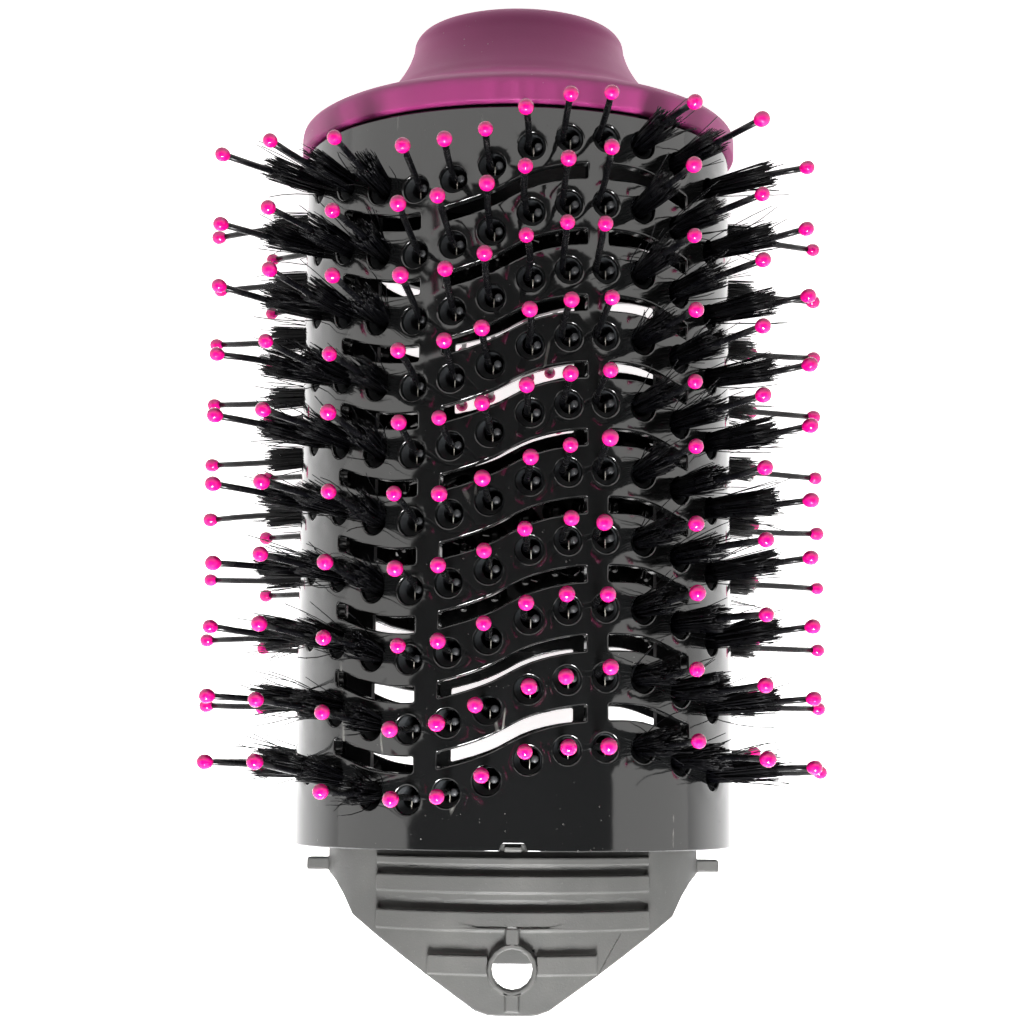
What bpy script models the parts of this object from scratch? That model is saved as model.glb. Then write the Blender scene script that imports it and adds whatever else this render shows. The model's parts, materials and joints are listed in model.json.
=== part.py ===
"""Detached oval head of a hot air brush: vented barrel, bristle rows, soft-touch cap and plug-in mount frame.

Everything is modelled in the barrel's own frame: +Y runs up the barrel to the cap, +Z is the front
face's normal, and the barrel's axis is the Y axis. An empty carries that frame, so that the head lies
on the bristles of its back half with the origin under the middle of its box.
"""

from math import atan2, cos, pi, radians, sin, sqrt

import bmesh
import bpy
from mathutils import Matrix, Vector

MM = 0.001
GAP = 0.3 * MM  # clearance between pieces that touch
FACET_SHARP_ANGLE = 20.0  # edges steeper than this stay sharp, in degrees
TURNED_SHARP_ANGLE = 35.0
MERGE_DISTANCE = 0.01 * MM

# Barrel: an oval tube in two half shells
BARREL_HALF_WIDTH = 35.0 * MM
BARREL_HALF_DEPTH = 30.0 * MM
BARREL_WALL = 1.8 * MM
RIM_Y = -57.85 * MM
CAP_SEAT_Y = 54.7 * MM
SEAM_ANGLES = (82.0, 90.0)  # extra corners of the section between the outer column and the seam

# Bristle field of one half
ROW_COUNT = 10
ROW_PITCH = 10.3 * MM
SLOT_HEIGHT = 2.35 * MM
SOCKET_RADIUS = 2.1 * MM
SOCKET_SIDES = 6
STRIP_THICKNESS = 1.2 * MM
STRIP_HALF_HEIGHT = 2.3 * MM
PIN_RADIUS = 0.55 * MM
PIN_OFFSET = 0.6 * MM  # a plain pin stands this far left of its socket's centre
BALL_RADIUS = 1.3 * MM
TUFT_ROOT_RADIUS = 0.85 * MM
TUFT_TIP_RADIUS = 2.6 * MM
TUFT_LENGTH = 12.5 * MM
FRONT_TIP_Z = 52.7 * MM

# One entry per bristle column, left to right: angle round the oval from the front in degrees, offset
# along the barrel in mm, and for a tufted column the places of its ball (x, rise along the barrel, z)
# on the front half and on the back half, in mm
COLUMNS = (
    (-66.0, 0.0, ((-45.5, 0.9, 27.0), (-52.9, 0.0, 18.5))),
    (-50.0, -1.5, ((-36.8, 1.7, 37.8), (-44.8, 0.5, 31.1))),
    (-37.7, -3.6, ((-26.6, 1.2, 45.2), (-34.0, 0.5, 40.5))),
    (-26.3, -4.2, None),
    (-16.5, -3.2, None),
    (-6.5, -1.3, None),
    (3.5, 1.7, None),
    (13.0, 3.2, None),
    (22.4, 3.7, None),
    (33.2, 3.6, ((25.6, 0.5, 44.2), (32.5, 0.5, 41.3))),
    (45.2, 1.7, ((35.9, 0.6, 39.2), (43.0, 0.5, 33.0))),
    (61.2, -0.5, ((45.0, 1.5, 23.2), (52.9, 0.0, 22.5))),
)
HALVES = (("front", 0.0), ("back", 1.4 * MM))  # each half's name and the shift of its pattern to the cap
SLOT_SPANS = ((-51.0, -25.2), (-18.9, 17.8), (23.6, 49.0))  # start and end angles of the vent slots
SLOT_SHORTEST_STEP = 3.0  # degrees kept between a slot's end and its first bend

# Cap: an oval flange that necks into a round-topped boss
CAP_HALF_WIDTH = 36.0 * MM
CAP_HALF_DEPTH = 31.0 * MM
CAP_STEPS = 28
CAP_TOP_Y = 77.5 * MM
CAP_OUTSIDE = (  # share of the flange's size, place along the barrel in mm, from the crown down
    (0.34, 77.5), (0.43, 76.7), (0.475, 75.5), (0.492, 73.5), (0.52, 70.6), (0.56, 68.1),
    (0.603, 66.1), (0.66, 64.0), (0.80, 61.9), (0.93, 60.3), (0.99, 59.0), (1.0, 57.9), (1.0, 54.7),
)
CAP_INSIDE = ((0.932, 54.7), (0.932, 57.6), (0.66, 58.7), (0.49, 61.5), (0.42, 67.0), (0.39, 73.4))

# Cap plate: a shallow cup that closes the barrel's upper end
PLATE_BOTTOM_Y = 54.05 * MM
PLATE_TOP_Y = 57.2 * MM
PLATE_FLOOR = 1.4 * MM
PLATE_RIM = 1.6 * MM

# Mount frame: oval collar with two tongues and two pegs, and the two rails that tie it to the cap plate
COLLAR_HALF_WIDTH = 29.4 * MM
COLLAR_HALF_DEPTH = 24.5 * MM
COLLAR_WALL = 1.8 * MM
COLLAR_TOP_Y = -50.0 * MM
COLLAR_STEPS = 32
ARC_STEP = 5.0 * MM  # chord of the curved ribs
TONGUE_TIP_Y = -81.7 * MM
TONGUE_SIDE = ((30.5, -48.0), (30.5, -62.0), (28.6, -62.3), (27.4, -63.3), (26.1, -65.0))  # (x, y) in mm
TONGUE_END = ((24.4, -68.0), (6.9, -80.0), (5.4, -81.0), (3.6, -81.6), (2.4, -81.7))
BACK_RISE = 3.0 * MM  # the back tongue and what stands on its end are this much nearer the collar
TONGUE_REACH = 27.0 * MM  # half length of the prism that shapes both tongues
RIB_HEIGHT = 1.2 * MM
COLLAR_RIBS = ((-20.5, 20.5, -60.0, -58.8), (-20.5, 20.5, -64.0, -61.5))  # from x, to x, bottom, top
FRONT_RIB = (-20.5, 20.5, -69.5, -66.7)
SCOOP_DEPTH = 0.8 * MM  # of the hollow above a rib, at the rib's upper edge
COLLAR_SCOOP = 1.5 * MM  # length of the hollow above the lower collar rib
FRONT_SCOOP = 2.5 * MM  # length of the hollow above the front rib
END_RIBS = ((-12.5, -3.6, -75.8, -73.0), (3.6, 12.5, -75.8, -73.0))
WEB_HALF_WIDTH = 0.98 * MM
WEBS = ((-72.0, -69.0), (-81.0, -78.0))  # bottom and top of the webs above and below the catch ring
CATCH_Y = -75.0 * MM
CATCH_RING_RADIUS = 3.7 * MM
CATCH_HOLE_RADIUS = 3.0 * MM
CATCH_SIDES = 16
RAIL_SIZE = (4.0 * MM, 7.0 * MM)
RAIL_X = 24.8 * MM
RAIL_OVERLAP = 6.0 * MM  # length of a rail's foot inside the collar
PEG_Y = -60.9 * MM
PEG_SIZE = (4.4 * MM, 1.9 * MM, 4.0 * MM)
PEG_X = 30.5 * MM

# Cap screws: they hold the cap plate down on the rails
SCREW_SIDES = 10
SCREW_SHANK_RADIUS = 0.85 * MM
SCREW_HEAD_RADIUS = 1.9 * MM
SCREW_HEAD_HEIGHT = 1.3 * MM
SCREW_REACH = 7.0 * MM  # depth of the shank in its rail
SCREW_BORE_RADIUS = 1.3 * MM

# Snap latch: a leaf inside the rim whose nose fills the notch in the rim
NOTCH_WIDTH = 3.2 * MM
NOTCH_HEIGHT = 1.1 * MM
LATCH_WIDTH = 2.5 * MM
LATCH_PROFILE = (  # (along the barrel, outward) round the leaf, its nose and its foot, in mm
    (-51.0, 27.7), (-51.0, 24.8), (-52.2, 24.8), (-52.2, 26.5), (-57.4, 26.5), (-57.85, 27.0),
    (-57.85, 29.3), (-57.6, 29.5), (-57.1, 29.5), (-57.1, 27.7),
)
LATCH_PIVOT = (-51.6 * MM, 24.8 * MM)

BOX_MIDDLE_Y = (CAP_TOP_Y + TONGUE_TIP_Y) / 2
AXIS_HEIGHT = FRONT_TIP_Z + BALL_RADIUS

# Linear RGB, roughness and metallic value of each material
LOOKS = {
    "black_gloss_shell": ((0.010, 0.010, 0.011), 0.18, 0.0),
    "black_nylon_bristle": ((0.012, 0.012, 0.013), 0.45, 0.0),
    "pink_ball_tip": ((0.72, 0.012, 0.30), 0.22, 0.0),
    "plum_soft_touch": ((0.115, 0.016, 0.090), 0.55, 0.0),
    "charcoal_frame": ((0.042, 0.045, 0.048), 0.55, 0.0),
    "black_inner": ((0.015, 0.015, 0.016), 0.6, 0.0),
    "steel_screw": ((0.55, 0.56, 0.58), 0.3, 1.0),
}


def start_scene():
    """Empties the scene and returns the part's collection, the cutters' collection and the frame."""
    for old in list(bpy.data.objects):
        bpy.data.objects.remove(old, do_unlink=True)
    parts = bpy.data.collections.new("hot_air_brush_head")
    cutters = bpy.data.collections.new("cutters")
    for collection in (parts, cutters):
        bpy.context.scene.collection.children.link(collection)
    barrel_frame = bpy.data.objects.new("barrel_frame", None)
    barrel_frame.location = (0.0, -BOX_MIDDLE_Y, AXIS_HEIGHT)
    parts.objects.link(barrel_frame)
    return parts, cutters, barrel_frame


def material(name):
    """The named material, a Principled shader made on first use."""
    found = bpy.data.materials.get(name)
    if found:
        return found
    colour, roughness, metallic = LOOKS[name]
    found = bpy.data.materials.new(name)
    found.use_nodes = True
    shader = found.node_tree.nodes["Principled BSDF"]
    shader.inputs["Base Color"].default_value = (*colour, 1.0)
    shader.inputs["Roughness"].default_value = roughness
    shader.inputs["Metallic"].default_value = metallic
    found.diffuse_color = (*colour, 1.0)
    return found


def new_object(name, shape, look):
    """A part made from a bmesh, in the barrel's frame."""
    bmesh.ops.recalc_face_normals(shape, faces=shape.faces)
    mesh = bpy.data.meshes.new(name)
    shape.to_mesh(mesh)
    shape.free()
    made = bpy.data.objects.new(name, mesh)
    made.data.materials.append(material(look))
    made.parent = FRAME
    PARTS.objects.link(made)
    return made


def new_cutter(name, shape):
    """A wire-drawn helper for a Boolean, in the barrel's frame."""
    bmesh.ops.recalc_face_normals(shape, faces=shape.faces)
    mesh = bpy.data.meshes.new(name)
    shape.to_mesh(mesh)
    shape.free()
    made = bpy.data.objects.new(name, mesh)
    made.parent = FRAME
    made.hide_render = True
    made.display_type = "WIRE"
    CUTTERS.objects.link(made)
    return made


def combine(target, operation, helper):
    """Adds an exact Boolean with a helper to the target."""
    step = target.modifiers.new(helper.name, "BOOLEAN")
    step.operation = operation
    step.solver = "EXACT"
    step.object = helper


def settle(target):
    """Applies the target's modifiers."""
    bpy.context.view_layer.update()
    graph = bpy.context.evaluated_depsgraph_get()
    mesh = bpy.data.meshes.new_from_object(target.evaluated_get(graph))
    target.modifiers.clear()
    target.data = mesh


def face_back(shape, half):
    """Mirrors a shape of the back half through the seam plane; a front one is left as it is."""
    if half == "back":
        bmesh.ops.scale(shape, verts=shape.verts, vec=(1.0, 1.0, -1.0))
    return shape


def smooth(target, angle):
    """Shades a round piece smooth, with its edges kept sharp."""
    target.data.shade_smooth()
    target.data.set_sharp_from_angle(angle=radians(angle))


def prism(shape, outline, low, high):
    """Adds an outline in the XY plane, extruded from z = low to z = high."""
    base = shape.faces.new([shape.verts.new((x, y, low)) for x, y in outline])
    grown = bmesh.ops.extrude_face_region(shape, geom=[base])["geom"]
    top = [item for item in grown if isinstance(item, bmesh.types.BMVert)]
    bmesh.ops.translate(shape, verts=top, vec=(0.0, 0.0, high - low))
    return [*base.verts, *top]


def along_barrel(shape, outline, low, high, flip=1):
    """Adds an outline of (x, z) points extruded along the barrel; flip = -1 puts it on the back."""
    verts = prism(shape, outline, low, high)
    stand = Matrix(((flip, 0, 0, 0), (0, 0, 1, 0), (0, flip, 0, 0), (0, 0, 0, 1)))
    bmesh.ops.transform(shape, verts=verts, matrix=stand)


def box(shape, size, centre):
    """Adds a box."""
    cube = bmesh.ops.create_cube(shape, size=1.0)["verts"]
    bmesh.ops.scale(shape, verts=cube, vec=size)
    bmesh.ops.translate(shape, verts=cube, vec=centre)


def disc(shape, radius, sides, depth, place):
    """Adds a cylinder of the given depth along its own Z, moved by a matrix."""
    bmesh.ops.create_cone(
        shape, cap_ends=True, segments=sides, radius1=radius, radius2=radius, depth=depth, matrix=place
    )


def oval_point(angle, inset=0.0):
    """The (x, z) point of the barrel's section at an angle from the front, in degrees."""
    turn = radians(angle)
    return Vector(((BARREL_HALF_WIDTH - inset) * sin(turn), (BARREL_HALF_DEPTH - inset) * cos(turn)))


def oval_normal(angle):
    """The outward direction of the section at an angle, as radians from +Z towards +X."""
    turn = radians(angle)
    return atan2(sin(turn) / BARREL_HALF_WIDTH, cos(turn) / BARREL_HALF_DEPTH)


def facet_angles():
    """The corner angles of the bristle field's facets: each column sits in the middle of its own facet."""
    angles = [column[0] for column in COLUMNS]
    middles = [(first + second) / 2 for first, second in zip(angles, angles[1:])]
    return [2 * angles[0] - middles[0], *middles, 2 * angles[-1] - middles[-1]]


def wave(angle):
    """How far the bristle rows and slots are shifted along the barrel at an angle."""
    if angle <= COLUMNS[0][0]:
        return COLUMNS[0][1] * MM
    for (start, low, _), (end, high, _) in zip(COLUMNS, COLUMNS[1:]):
        if angle <= end:
            return (low + (high - low) * (angle - start) / (end - start)) * MM
    return COLUMNS[-1][1] * MM


def row_y(row):
    """The mean place of a row along the barrel; row 0 is nearest the cap, and halves are the slots."""
    return ((ROW_COUNT - 1) / 2 - row) * ROW_PITCH


def facet_middle(index, inset=0.0):
    """The middle (x, z) of a column's facet."""
    edges = facet_angles()
    return (oval_point(edges[index], inset) + oval_point(edges[index + 1], inset)) / 2


# ---------------------------------------------------------------- barrel


def socket_cutters(shape, raised):
    """One short prism through the wall for each bristle socket."""
    for index, (angle, shift, _) in enumerate(COLUMNS):
        middle = facet_middle(index, BARREL_WALL / 2)
        for row in range(ROW_COUNT):
            place = Matrix.Translation((middle.x, row_y(row) + raised + shift * MM, middle.y))
            turn = Matrix.Rotation(oval_normal(angle), 4, "Y")
            disc(shape, SOCKET_RADIUS, SOCKET_SIDES, 2 * BARREL_WALL, place @ turn)


def slot_cutters(shape, raised):
    """Wavy prisms through the wall between the rows."""
    corners = facet_angles()
    for start, end in SLOT_SPANS:
        first, last = start + SLOT_SHORTEST_STEP, end - SLOT_SHORTEST_STEP
        bends = [start, *(angle for angle in corners if first < angle < last), end]
        lean = oval_normal((start + end) / 2)
        turn = Matrix.Rotation(lean, 4, "Y")
        flat = turn.inverted()
        across = [(flat @ Vector((oval_point(angle).x, 0.0, oval_point(angle).y))) for angle in bends]
        high = max(point.z for point in across) + BARREL_WALL
        low = min(point.z for point in across) - 3 * BARREL_WALL
        for gap in range(ROW_COUNT - 1):
            middle = [row_y(gap + 0.5) + raised + wave(angle) for angle in bends]
            top = [(point.x, y + SLOT_HEIGHT / 2) for point, y in zip(across, middle)]
            bottom = [(point.x, y - SLOT_HEIGHT / 2) for point, y in zip(across, middle)]
            bmesh.ops.transform(
                shape, verts=prism(shape, bottom + top[::-1], low, high), matrix=turn
            )


def barrel_shell(half, raised):
    """A half shell with its sockets, slots and rim notch."""
    edges = facet_angles()
    seam = [-angle for angle in SEAM_ANGLES[::-1]] + edges + list(SEAM_ANGLES)
    outer = [oval_point(angle) for angle in seam]
    inner = [oval_point(angle, BARREL_WALL) for angle in seam]
    for line in (outer, inner):
        line[0].y = line[-1].y = GAP / 2
    outline = [(point.x, point.y) for point in outer + inner[::-1]]
    shape = bmesh.new()
    along_barrel(shape, outline, RIM_Y, CAP_SEAT_Y - GAP)
    shell = new_object(f"barrel_{half}_shell", face_back(shape, half), "black_gloss_shell")

    holes = bmesh.new()
    socket_cutters(holes, raised)
    slot_cutters(holes, raised)
    box(holes, (NOTCH_WIDTH, 2 * NOTCH_HEIGHT, 4 * BARREL_WALL), (0.0, RIM_Y, BARREL_HALF_DEPTH))
    combine(shell, "DIFFERENCE", new_cutter(f"{half}_openings", face_back(holes, half)))
    settle(shell)
    smooth(shell, FACET_SHARP_ANGLE)


# ---------------------------------------------------------------- bristles


def ring(centre, along, radius):
    """Four corners of a circle round a centre, square to a direction, in the order of a strip's face."""
    side = Vector((0.0, 1.0, 0.0)).cross(along).normalized()
    up = along.cross(side)
    corners = ((-1, -1), (1, -1), (1, 1), (-1, 1))
    return [centre + (side * x + up * y) * radius / sqrt(2) for x, y in corners]


def pull(shape, face, corners):
    """Extrudes a face and sets its new corners."""
    face = bmesh.ops.extrude_discrete_faces(shape, faces=[face])["faces"][0]
    for vert, corner in zip(face.verts, corners):
        vert.co = corner
    return face


def bristle(shape, face, gate, tip, tufted):
    """Grows one bristle out of a strip's face, through the gate point in its socket, to its ball.

    It is a pin with a ball, inside a tuft if the column is tufted.
    """
    along = (tip - gate).normalized()
    normal = face.normal.copy()
    root = gate + along * ((face.verts[0].co - gate).dot(normal) / along.dot(normal))
    foot = PIN_RADIUS
    if tufted:
        foot = TUFT_ROOT_RADIUS
    face = pull(shape, face, ring(root, normal, foot))
    if tufted:
        tuft_end = root + along * TUFT_LENGTH
        face = pull(shape, face, ring(tuft_end, along, TUFT_TIP_RADIUS))
        face = pull(shape, face, ring(tuft_end, along, PIN_RADIUS))
    face = pull(shape, face, ring(tip - along * BALL_RADIUS, along, PIN_RADIUS))
    face = pull(shape, face, ring(tip, along, BALL_RADIUS))
    peak = bmesh.ops.poke(shape, faces=[face])["verts"][0]
    peak.co = tip + along * BALL_RADIUS


def bristle_row(half, raised, row):
    """A wavy strip behind a shell that carries one row of bristles."""
    edges = facet_angles()
    top = BARREL_WALL + GAP
    shape = bmesh.new()
    stations = []
    for angle in edges:
        outer, inner = oval_point(angle, top), oval_point(angle, top + STRIP_THICKNESS)
        low = row_y(row) + raised + wave(angle) - STRIP_HALF_HEIGHT
        high = low + 2 * STRIP_HALF_HEIGHT
        outside = [(outer.x, low, outer.y), (outer.x, high, outer.y)]
        inside = [(inner.x, high, inner.y), (inner.x, low, inner.y)]
        stations.append([shape.verts.new(corner) for corner in outside + inside])
    seats = []
    for first, second in zip(stations, stations[1:]):
        seats.append(shape.faces.new((first[0], second[0], second[1], first[1])))
        for low, high in ((1, 2), (2, 3), (3, 0)):
            shape.faces.new((first[low], second[low], second[high], first[high]))
    shape.faces.new(stations[0])
    shape.faces.new(stations[-1][::-1])
    shape.normal_update()
    for index, (seat, (_, shift, balls)) in enumerate(zip(seats, COLUMNS)):
        middle = facet_middle(index, BARREL_WALL / 2)
        gate = Vector((middle.x, row_y(row) + raised + shift * MM, middle.y))
        if balls:
            ball = balls[half == "back"]
            tip = Vector((ball[0] * MM, gate.y + ball[1] * MM, ball[2] * MM))
        else:
            gate.x -= PIN_OFFSET
            tip = Vector((gate.x, gate.y, FRONT_TIP_Z))
        bristle(shape, seat, gate, tip, balls is not None)
    new_object(f"{half}_bristle_row_{row + 1:02d}", face_back(shape, half), "black_nylon_bristle")


# ---------------------------------------------------------------- cap


def turned(name, profile, look, squash=1.0, steps=CAP_STEPS):
    """A closed profile of (radius, height) turned about its own Z, then squashed along Y."""
    shape = bmesh.new()
    points = [shape.verts.new((radius, 0.0, height)) for radius, height in profile]
    for first, second in zip(points, points[1:]):
        shape.edges.new((first, second))
    mesh = bpy.data.meshes.new(name)
    shape.to_mesh(mesh)
    shape.free()
    made = bpy.data.objects.new(name, mesh)
    made.data.materials.append(material(look))
    PARTS.objects.link(made)
    spin = made.modifiers.new("turn", "SCREW")
    spin.steps = spin.render_steps = steps
    spin.use_merge_vertices = True
    spin.merge_threshold = MERGE_DISTANCE
    settle(made)
    for vert in made.data.vertices:
        vert.co.y *= squash
    made.parent = FRAME
    made.rotation_euler = (-pi / 2, 0.0, 0.0)
    smooth(made, TURNED_SHARP_ANGLE)
    return made


def end_cap():
    """The soft-touch cap, hollow from below."""
    outside = [(share * CAP_HALF_WIDTH, y * MM) for share, y in CAP_OUTSIDE]
    inside = [(share * CAP_HALF_WIDTH, y * MM) for share, y in CAP_INSIDE]
    profile = [(0.0, CAP_TOP_Y), *outside, *inside, (0.0, inside[-1][1])]
    turned("end_cap", profile, "plum_soft_touch", CAP_HALF_DEPTH / CAP_HALF_WIDTH)


def screw_places():
    """Where each cap screw crosses the cap plate's lower face, as (x, y)."""
    return [(sign * RAIL_X, PLATE_BOTTOM_Y) for sign in (-1, 1)]


def cylinder_along_barrel(shape, radius, sides, x, low, high):
    """Adds a cylinder along the barrel between two heights."""
    place = Matrix.Translation((x, (low + high) / 2, 0.0)) @ Matrix.Rotation(pi / 2, 4, "X")
    disc(shape, radius, sides, high - low, place)


def cap_plate():
    """The oval cup that closes the barrel and carries the cap."""
    half_width = BARREL_HALF_WIDTH - BARREL_WALL - GAP
    half_depth = BARREL_HALF_DEPTH - BARREL_WALL - GAP
    floor = PLATE_BOTTOM_Y + PLATE_FLOOR
    lip = half_width - PLATE_RIM
    profile = [
        (0.0, floor), (lip, floor), (lip, PLATE_TOP_Y), (half_width, PLATE_TOP_Y),
        (half_width, PLATE_BOTTOM_Y), (0.0, PLATE_BOTTOM_Y),
    ]
    plate = turned("cap_plate", profile, "black_inner", half_depth / half_width)
    holes = bmesh.new()
    for x, y in screw_places():
        cylinder_along_barrel(holes, SCREW_BORE_RADIUS, SCREW_SIDES, x, y - PLATE_FLOOR, y + 2 * PLATE_FLOOR)
    combine(plate, "DIFFERENCE", new_cutter("plate_screw_holes", holes))


def cap_screws():
    """Two pan-head screws that pull the cap plate down on the rails."""
    seat = PLATE_BOTTOM_Y + PLATE_FLOOR + GAP
    tip = PLATE_BOTTOM_Y - SCREW_REACH
    profile = [
        (0.0, seat + SCREW_HEAD_HEIGHT), (0.7 * SCREW_HEAD_RADIUS, seat + SCREW_HEAD_HEIGHT),
        (SCREW_HEAD_RADIUS, seat + 0.4 * SCREW_HEAD_HEIGHT), (SCREW_HEAD_RADIUS, seat),
        (SCREW_SHANK_RADIUS, seat), (SCREW_SHANK_RADIUS, tip + SCREW_SHANK_RADIUS), (0.0, tip),
    ]
    for (x, _), side in zip(screw_places(), ("left", "right")):
        screw = turned(f"cap_screw_{side}", profile, "steel_screw", steps=SCREW_SIDES)
        screw.location.x = x


# ---------------------------------------------------------------- mount frame


def collar_points(grow=0.0, limit=None):
    """Points of the collar's section: the whole oval, or the front arc between two x values."""
    width, depth = COLLAR_HALF_WIDTH + grow, COLLAR_HALF_DEPTH + grow
    if limit is None:
        turns = [2 * pi * step / COLLAR_STEPS for step in range(COLLAR_STEPS)]
        return [(width * cos(turn), depth * sin(turn)) for turn in turns]
    low, high = limit
    steps = max(2, round((high - low) / ARC_STEP))
    places = [low + (high - low) * step / steps for step in range(steps + 1)]
    return [(x, depth * (1 - (x / width) ** 2) ** 0.5) for x in places]


def tongue_prism(side, rise):
    """The outline that leaves the collar whole and cuts its lower end into this half's tongue."""
    right = [(x * MM, y * MM) for x, y in TONGUE_SIDE] + [(x * MM, y * MM + rise) for x, y in TONGUE_END]
    left = [(-x, y) for x, y in right[::-1]]
    shape = bmesh.new()
    low, high = sorted((0.0, side * TONGUE_REACH))
    prism(shape, right + left, low, high)
    return shape


def half_bars(rise):
    """The ribs and webs of one half, as (left, right, bottom, top)."""
    webs = [(-WEB_HALF_WIDTH / MM, WEB_HALF_WIDTH / MM, low, high) for low, high in WEBS]
    bars = [tuple(value * MM for value in bar) for bar in COLLAR_RIBS]
    if not rise:
        bars.append(tuple(value * MM for value in FRONT_RIB))
    for left, right, low, high in (*END_RIBS, *webs):
        bars.append((left * MM, right * MM, low * MM + rise, high * MM + rise))
    return bars


def frame_additions(side, rise):
    """Helpers added to one half of the collar: ribs, webs and catch ring, one object each."""
    made = []
    sunk = COLLAR_WALL / 2
    for number, (left, right, low, high) in enumerate(half_bars(rise)):
        outline = collar_points(RIB_HEIGHT, (left, right)) + collar_points(-sunk, (left, right))[::-1]
        shape = bmesh.new()
        along_barrel(shape, outline, low, high, side)
        made.append(new_cutter(f"bar_{side}_{number}", shape))
    shape = bmesh.new()
    depth = COLLAR_WALL + RIB_HEIGHT
    middle = COLLAR_HALF_DEPTH + RIB_HEIGHT - depth / 2
    place = Matrix.Translation((0.0, CATCH_Y + rise, side * middle))
    disc(shape, CATCH_RING_RADIUS, CATCH_SIDES, depth, place)
    made.append(new_cutter(f"catch_ring_{side}", shape))
    return made


def scoop(name, side, bar, length):
    """A wedge that cuts a hollow above a rib: deep at the rib, running out into the collar's face."""
    left, right, _, top = (value * MM for value in bar)
    low, high = top - GAP, top + length
    span = (left + GAP, right - GAP)
    corners = ((-SCOOP_DEPTH, low), (GAP, high), (RIB_HEIGHT, high), (RIB_HEIGHT, low))
    shape = bmesh.new()
    lines = []
    for grow, y in corners:
        lines.append([shape.verts.new((x, y, side * z)) for x, z in collar_points(grow, span)])
    for first, second in zip(lines, lines[1:] + lines[:1]):
        for here in range(len(first) - 1):
            shape.faces.new((first[here], first[here + 1], second[here + 1], second[here]))
    for end in (0, -1):
        shape.faces.new([line[end] for line in lines])
    return new_cutter(name, shape)


def mount_frame():
    """The plug-in frame: collar, tongues with ribs and catch rings, and side pegs."""
    shape = bmesh.new()
    along_barrel(shape, collar_points(), TONGUE_TIP_Y - MM, COLLAR_TOP_Y)
    frame = new_object("mount_frame", shape, "charcoal_frame")
    hollow = bmesh.new()
    along_barrel(hollow, collar_points(-COLLAR_WALL), TONGUE_TIP_Y - 2 * MM, COLLAR_TOP_Y + MM)
    combine(frame, "DIFFERENCE", new_cutter("collar_hollow", hollow))
    ends = new_cutter("front_tongue_outline", tongue_prism(1, 0.0))
    combine(ends, "UNION", new_cutter("back_tongue_outline", tongue_prism(-1, BACK_RISE)))
    combine(frame, "INTERSECT", ends)
    for sign, name in ((-1, "left"), (1, "right")):
        peg = bmesh.new()
        box(peg, PEG_SIZE, (sign * PEG_X, PEG_Y, 0.0))
        combine(frame, "UNION", new_cutter(f"{name}_peg", peg))
    combine(frame, "DIFFERENCE", scoop("front_rib_scoop", 1, FRONT_RIB, FRONT_SCOOP))
    for side, rise in ((1, 0.0), (-1, BACK_RISE)):
        combine(frame, "DIFFERENCE", scoop(f"collar_scoop_{side}", side, COLLAR_RIBS[1], COLLAR_SCOOP))
        for helper in frame_additions(side, rise):
            combine(frame, "UNION", helper)
        hole = bmesh.new()
        place = Matrix.Translation((0.0, CATCH_Y + rise, side * TONGUE_REACH / 2))
        disc(hole, CATCH_HOLE_RADIUS, CATCH_SIDES, TONGUE_REACH, place)
        combine(frame, "DIFFERENCE", new_cutter(f"catch_hole_{side}", hole))
    settle(frame)
    smooth(frame, FACET_SHARP_ANGLE)


def side_rails():
    """The rails inside the barrel: each foot laps the collar, and each head takes a cap screw."""
    low, high = COLLAR_TOP_Y - RAIL_OVERLAP, PLATE_BOTTOM_Y - GAP
    for (x, y), side in zip(screw_places(), ("left", "right")):
        shape = bmesh.new()
        box(shape, (RAIL_SIZE[0], high - low, RAIL_SIZE[1]), (x, (low + high) / 2, 0.0))
        rail = new_object(f"{side}_rail", shape, "charcoal_frame")
        hole = bmesh.new()
        cylinder_along_barrel(hole, SCREW_BORE_RADIUS, SCREW_SIDES, x, y - SCREW_REACH - MM, y + MM)
        combine(rail, "DIFFERENCE", new_cutter(f"{side}_rail_bore", hole))


def latch(half, side):
    """A snap latch with its origin on its flex line."""
    shape = bmesh.new()
    pivot_y, pivot_z = LATCH_PIVOT
    outline = [(z * MM - pivot_z, y * MM - pivot_y) for y, z in LATCH_PROFILE]
    verts = prism(shape, outline, -LATCH_WIDTH / 2, LATCH_WIDTH / 2)
    lie = Matrix(((0, 0, 1, 0), (0, 1, 0, 0), (1, 0, 0, 0), (0, 0, 0, 1)))
    bmesh.ops.transform(shape, verts=verts, matrix=lie)
    made = new_object(f"{half}_latch", face_back(shape, half), "charcoal_frame")
    made.location = (0.0, pivot_y, side * pivot_z)


PARTS, CUTTERS, FRAME = start_scene()
for half_name, pattern_shift in HALVES:
    barrel_shell(half_name, pattern_shift)
    for row_number in range(ROW_COUNT):
        bristle_row(half_name, pattern_shift, row_number)
end_cap()
cap_plate()
cap_screws()
mount_frame()
side_rails()
latch("front", 1)
latch("back", -1)
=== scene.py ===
"""Looks of the hot air brush head: gloss shells, pins, tufts, soft-touch cap and mount frame.

Shapes are worked out in millimetres in the barrel's own frame: Y runs up the barrel to the cap, Z is
the front face's normal, and the origin lies on the barrel's axis. The shared frame is that one moved,
so that the head lies on the bristles of its back half.
"""

import json
from math import cos, pi, radians, sin

import bmesh
import bpy
import numpy as np
from mathutils import Matrix, Vector
from mathutils.geometry import delaunay_2d_cdt

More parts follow.
